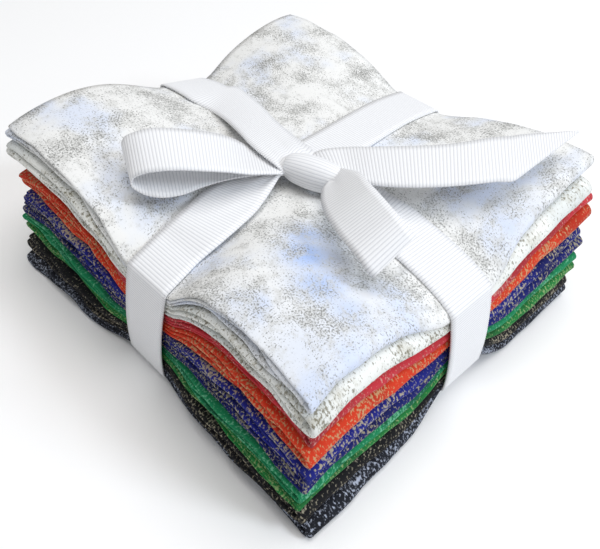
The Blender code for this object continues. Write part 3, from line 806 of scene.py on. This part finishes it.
def ribbon_material():
    """White grosgrain: rounded ribs with painted shade in the grooves between them, and a soft sheen."""
    make = Material("ribbon_grosgrain")
    place = make.flat_place()
    axes = make.node("ShaderNodeSeparateXYZ", {0: place}).outputs
    rib = make.math("ABSOLUTE", make.math("SINE", make.math("MULTIPLY", axes[0], math.pi / RIB_PITCH)))
    # Painted shade: the grooves between the ribs are coloured grey where shade would fall.
    groove_shade = make.math("SUBTRACT", 1, make.ramp(rib, *RIB_SHADE_RANGE))
    colour = make.mix(make.math("MULTIPLY", groove_shade, RIB_SHADE), RIBBON_WHITE, GROOVE_SHADE_GREY)
    make.put(make.shader.inputs["Base Color"], colour)
    make.shader.inputs["Roughness"].default_value = RIBBON_ROUGHNESS
    make.shader.inputs["Specular IOR Level"].default_value = RIBBON_SPECULAR
    make.shader.inputs["Sheen Weight"].default_value = RIBBON_SHEEN
    threads = make.math("SINE", make.math("MULTIPLY", axes[1], 2 * math.pi / THREAD_PITCH))
    inputs = {"Height": threads, "Strength": THREAD_STRENGTH, "Distance": THREAD_DEPTH}
    make.put(make.shader.inputs["Normal"], make.node("ShaderNodeBump", inputs).outputs["Normal"])
    return make.material


def make_quarters():
    """The ten fat quarters, from the top down, each resting on the next."""
    low = LOOSE_HEIGHT
    for number, quarter in enumerate(QUARTERS):
        low -= quarter.thick * MM
        cloth = fold_quarter(number, quarter, low)
        cloth.data.materials.append(cotton_material(quarter.slot, number))
        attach(cloth, "root")
        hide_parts(quarter.name)


def flap_bulge(at, across):
    """The pinch at the flap's root: a crease that runs out from the knot and fades."""
    crease = np.exp(-(((across - CREASE_AT) / CREASE_WIDTH) ** 2)) * np.exp(-((at / CREASE_RUN) ** 2))
    return -CREASE_DEPTH * crease


def arm_bulge(at, across):
    """Soft pleats where an arm is gathered into the knot."""
    return PLEAT_HEIGHT * np.cos(across * PLEATS * math.pi) * np.exp(-((at / PLEAT_RUN) ** 2))


def along_y(height):
    """The same heights, asked for with the place along Y first."""
    return lambda b, a: height(a, b)


def make_ribbon():
    """The ribbon's two bands with their arms on top, its knot, its loop and its two ends."""
    material = ribbon_material()
    left, front, right = (np.array(rows) * MM for rows in (LEFT_ARM, FRONT_ARM, RIGHT_ARM))
    round_x = band_rows(BAND_X, 0, BAND_X_COURSE, stack_top, stack_foot, *BAND_X_ENDS)
    round_y = band_rows(BAND_Y, 1, BAND_Y_COURSE, along_y(stack_top), along_y(stack_foot), *BAND_Y_ENDS)
    made = [
        (*ribbon_sheet("ribbon_band_x", np.vstack((left, round_x, right[::-1])), arm_bulge), "stretched"),
        (*ribbon_sheet("ribbon_band_y", np.vstack((front, round_y)), arm_bulge), "stretched"),
        (*knot_sheet(), "gathered"),
        (*ribbon_sheet("ribbon_loop", np.array(LOOP) * MM), "folded"),
        (*ribbon_sheet("ribbon_tail", np.array(TAIL) * MM), "laid"),
        (*ribbon_sheet("ribbon_flap", np.array(FLAP) * MM, flap_bulge), "laid"),
    ]
    for obj, length, held in made:
        obj.data.materials.append(material)
        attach(obj, "root")
        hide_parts("ribbon")


def make_stage():
    """A plain pale floor."""
    mesh = bpy.data.meshes.new("floor")
    corners = [(x * FLOOR_HALF, y * FLOOR_HALF, 0) for x, y in ((-1, -1), (1, -1), (1, 1), (-1, 1))]
    mesh.from_pydata(corners, [], [(0, 1, 2, 3)])
    floor = bpy.data.objects.new("floor", mesh)
    bpy.context.scene.collection.objects.link(floor)
    make = Material("floor_paper")
    make.shader.inputs["Base Color"].default_value = FLOOR_COLOUR
    make.shader.inputs["Roughness"].default_value = FLOOR_ROUGHNESS
    mesh.materials.append(make.material)
    floor.location.z = -FLOOR_DROP


def make_lights():
    """Round soft lights that face the stack, and an even pale surrounding."""
    for row in LIGHTS:
        light = bpy.data.lights.new(row.name, "AREA")
        light.shape = "DISK"
        light.size = row.size
        light.energy = row.watts
        light.color = row.colour
        obj = bpy.data.objects.new(row.name, light)
        bpy.context.scene.collection.objects.link(obj)
        obj.location = row.place
        obj.rotation_euler = (Vector(LIGHTS_AIM) - Vector(row.place)).to_track_quat("-Z", "Y").to_euler()
    world = bpy.data.worlds.new("studio")
    world.use_nodes = True
    background = world.node_tree.nodes["Background"]
    background.inputs["Color"].default_value = WORLD_COLOUR
    background.inputs["Strength"].default_value = WORLD_STRENGTH
    bpy.context.scene.world = world
    bpy.context.scene.view_settings.view_transform = "Standard"


def make_camera():
    """The photograph's camera."""
    camera = bpy.data.cameras.new("camera")
    camera.lens = CAMERA_LENS
    camera.sensor_width = CAMERA_SENSOR
    camera.clip_start = CAMERA_CLIP
    obj = bpy.data.objects.new("camera", camera)
    bpy.context.scene.collection.objects.link(obj)
    towards = Vector(
        (
            -math.sin(CAMERA_AZIMUTH) * math.cos(CAMERA_ELEVATION),
            math.cos(CAMERA_AZIMUTH) * math.cos(CAMERA_ELEVATION),
            -math.sin(CAMERA_ELEVATION),
        )
    )
    obj.matrix_world = towards.to_track_quat("-Z", "Y").to_matrix().to_4x4()
    obj.rotation_euler.rotate_axis("Z", CAMERA_ROLL)
    obj.location = CAMERA_PLACE
    bpy.context.scene.camera = obj


make_camera()
make_stage()
make_lights()
make_quarters()
make_ribbon()
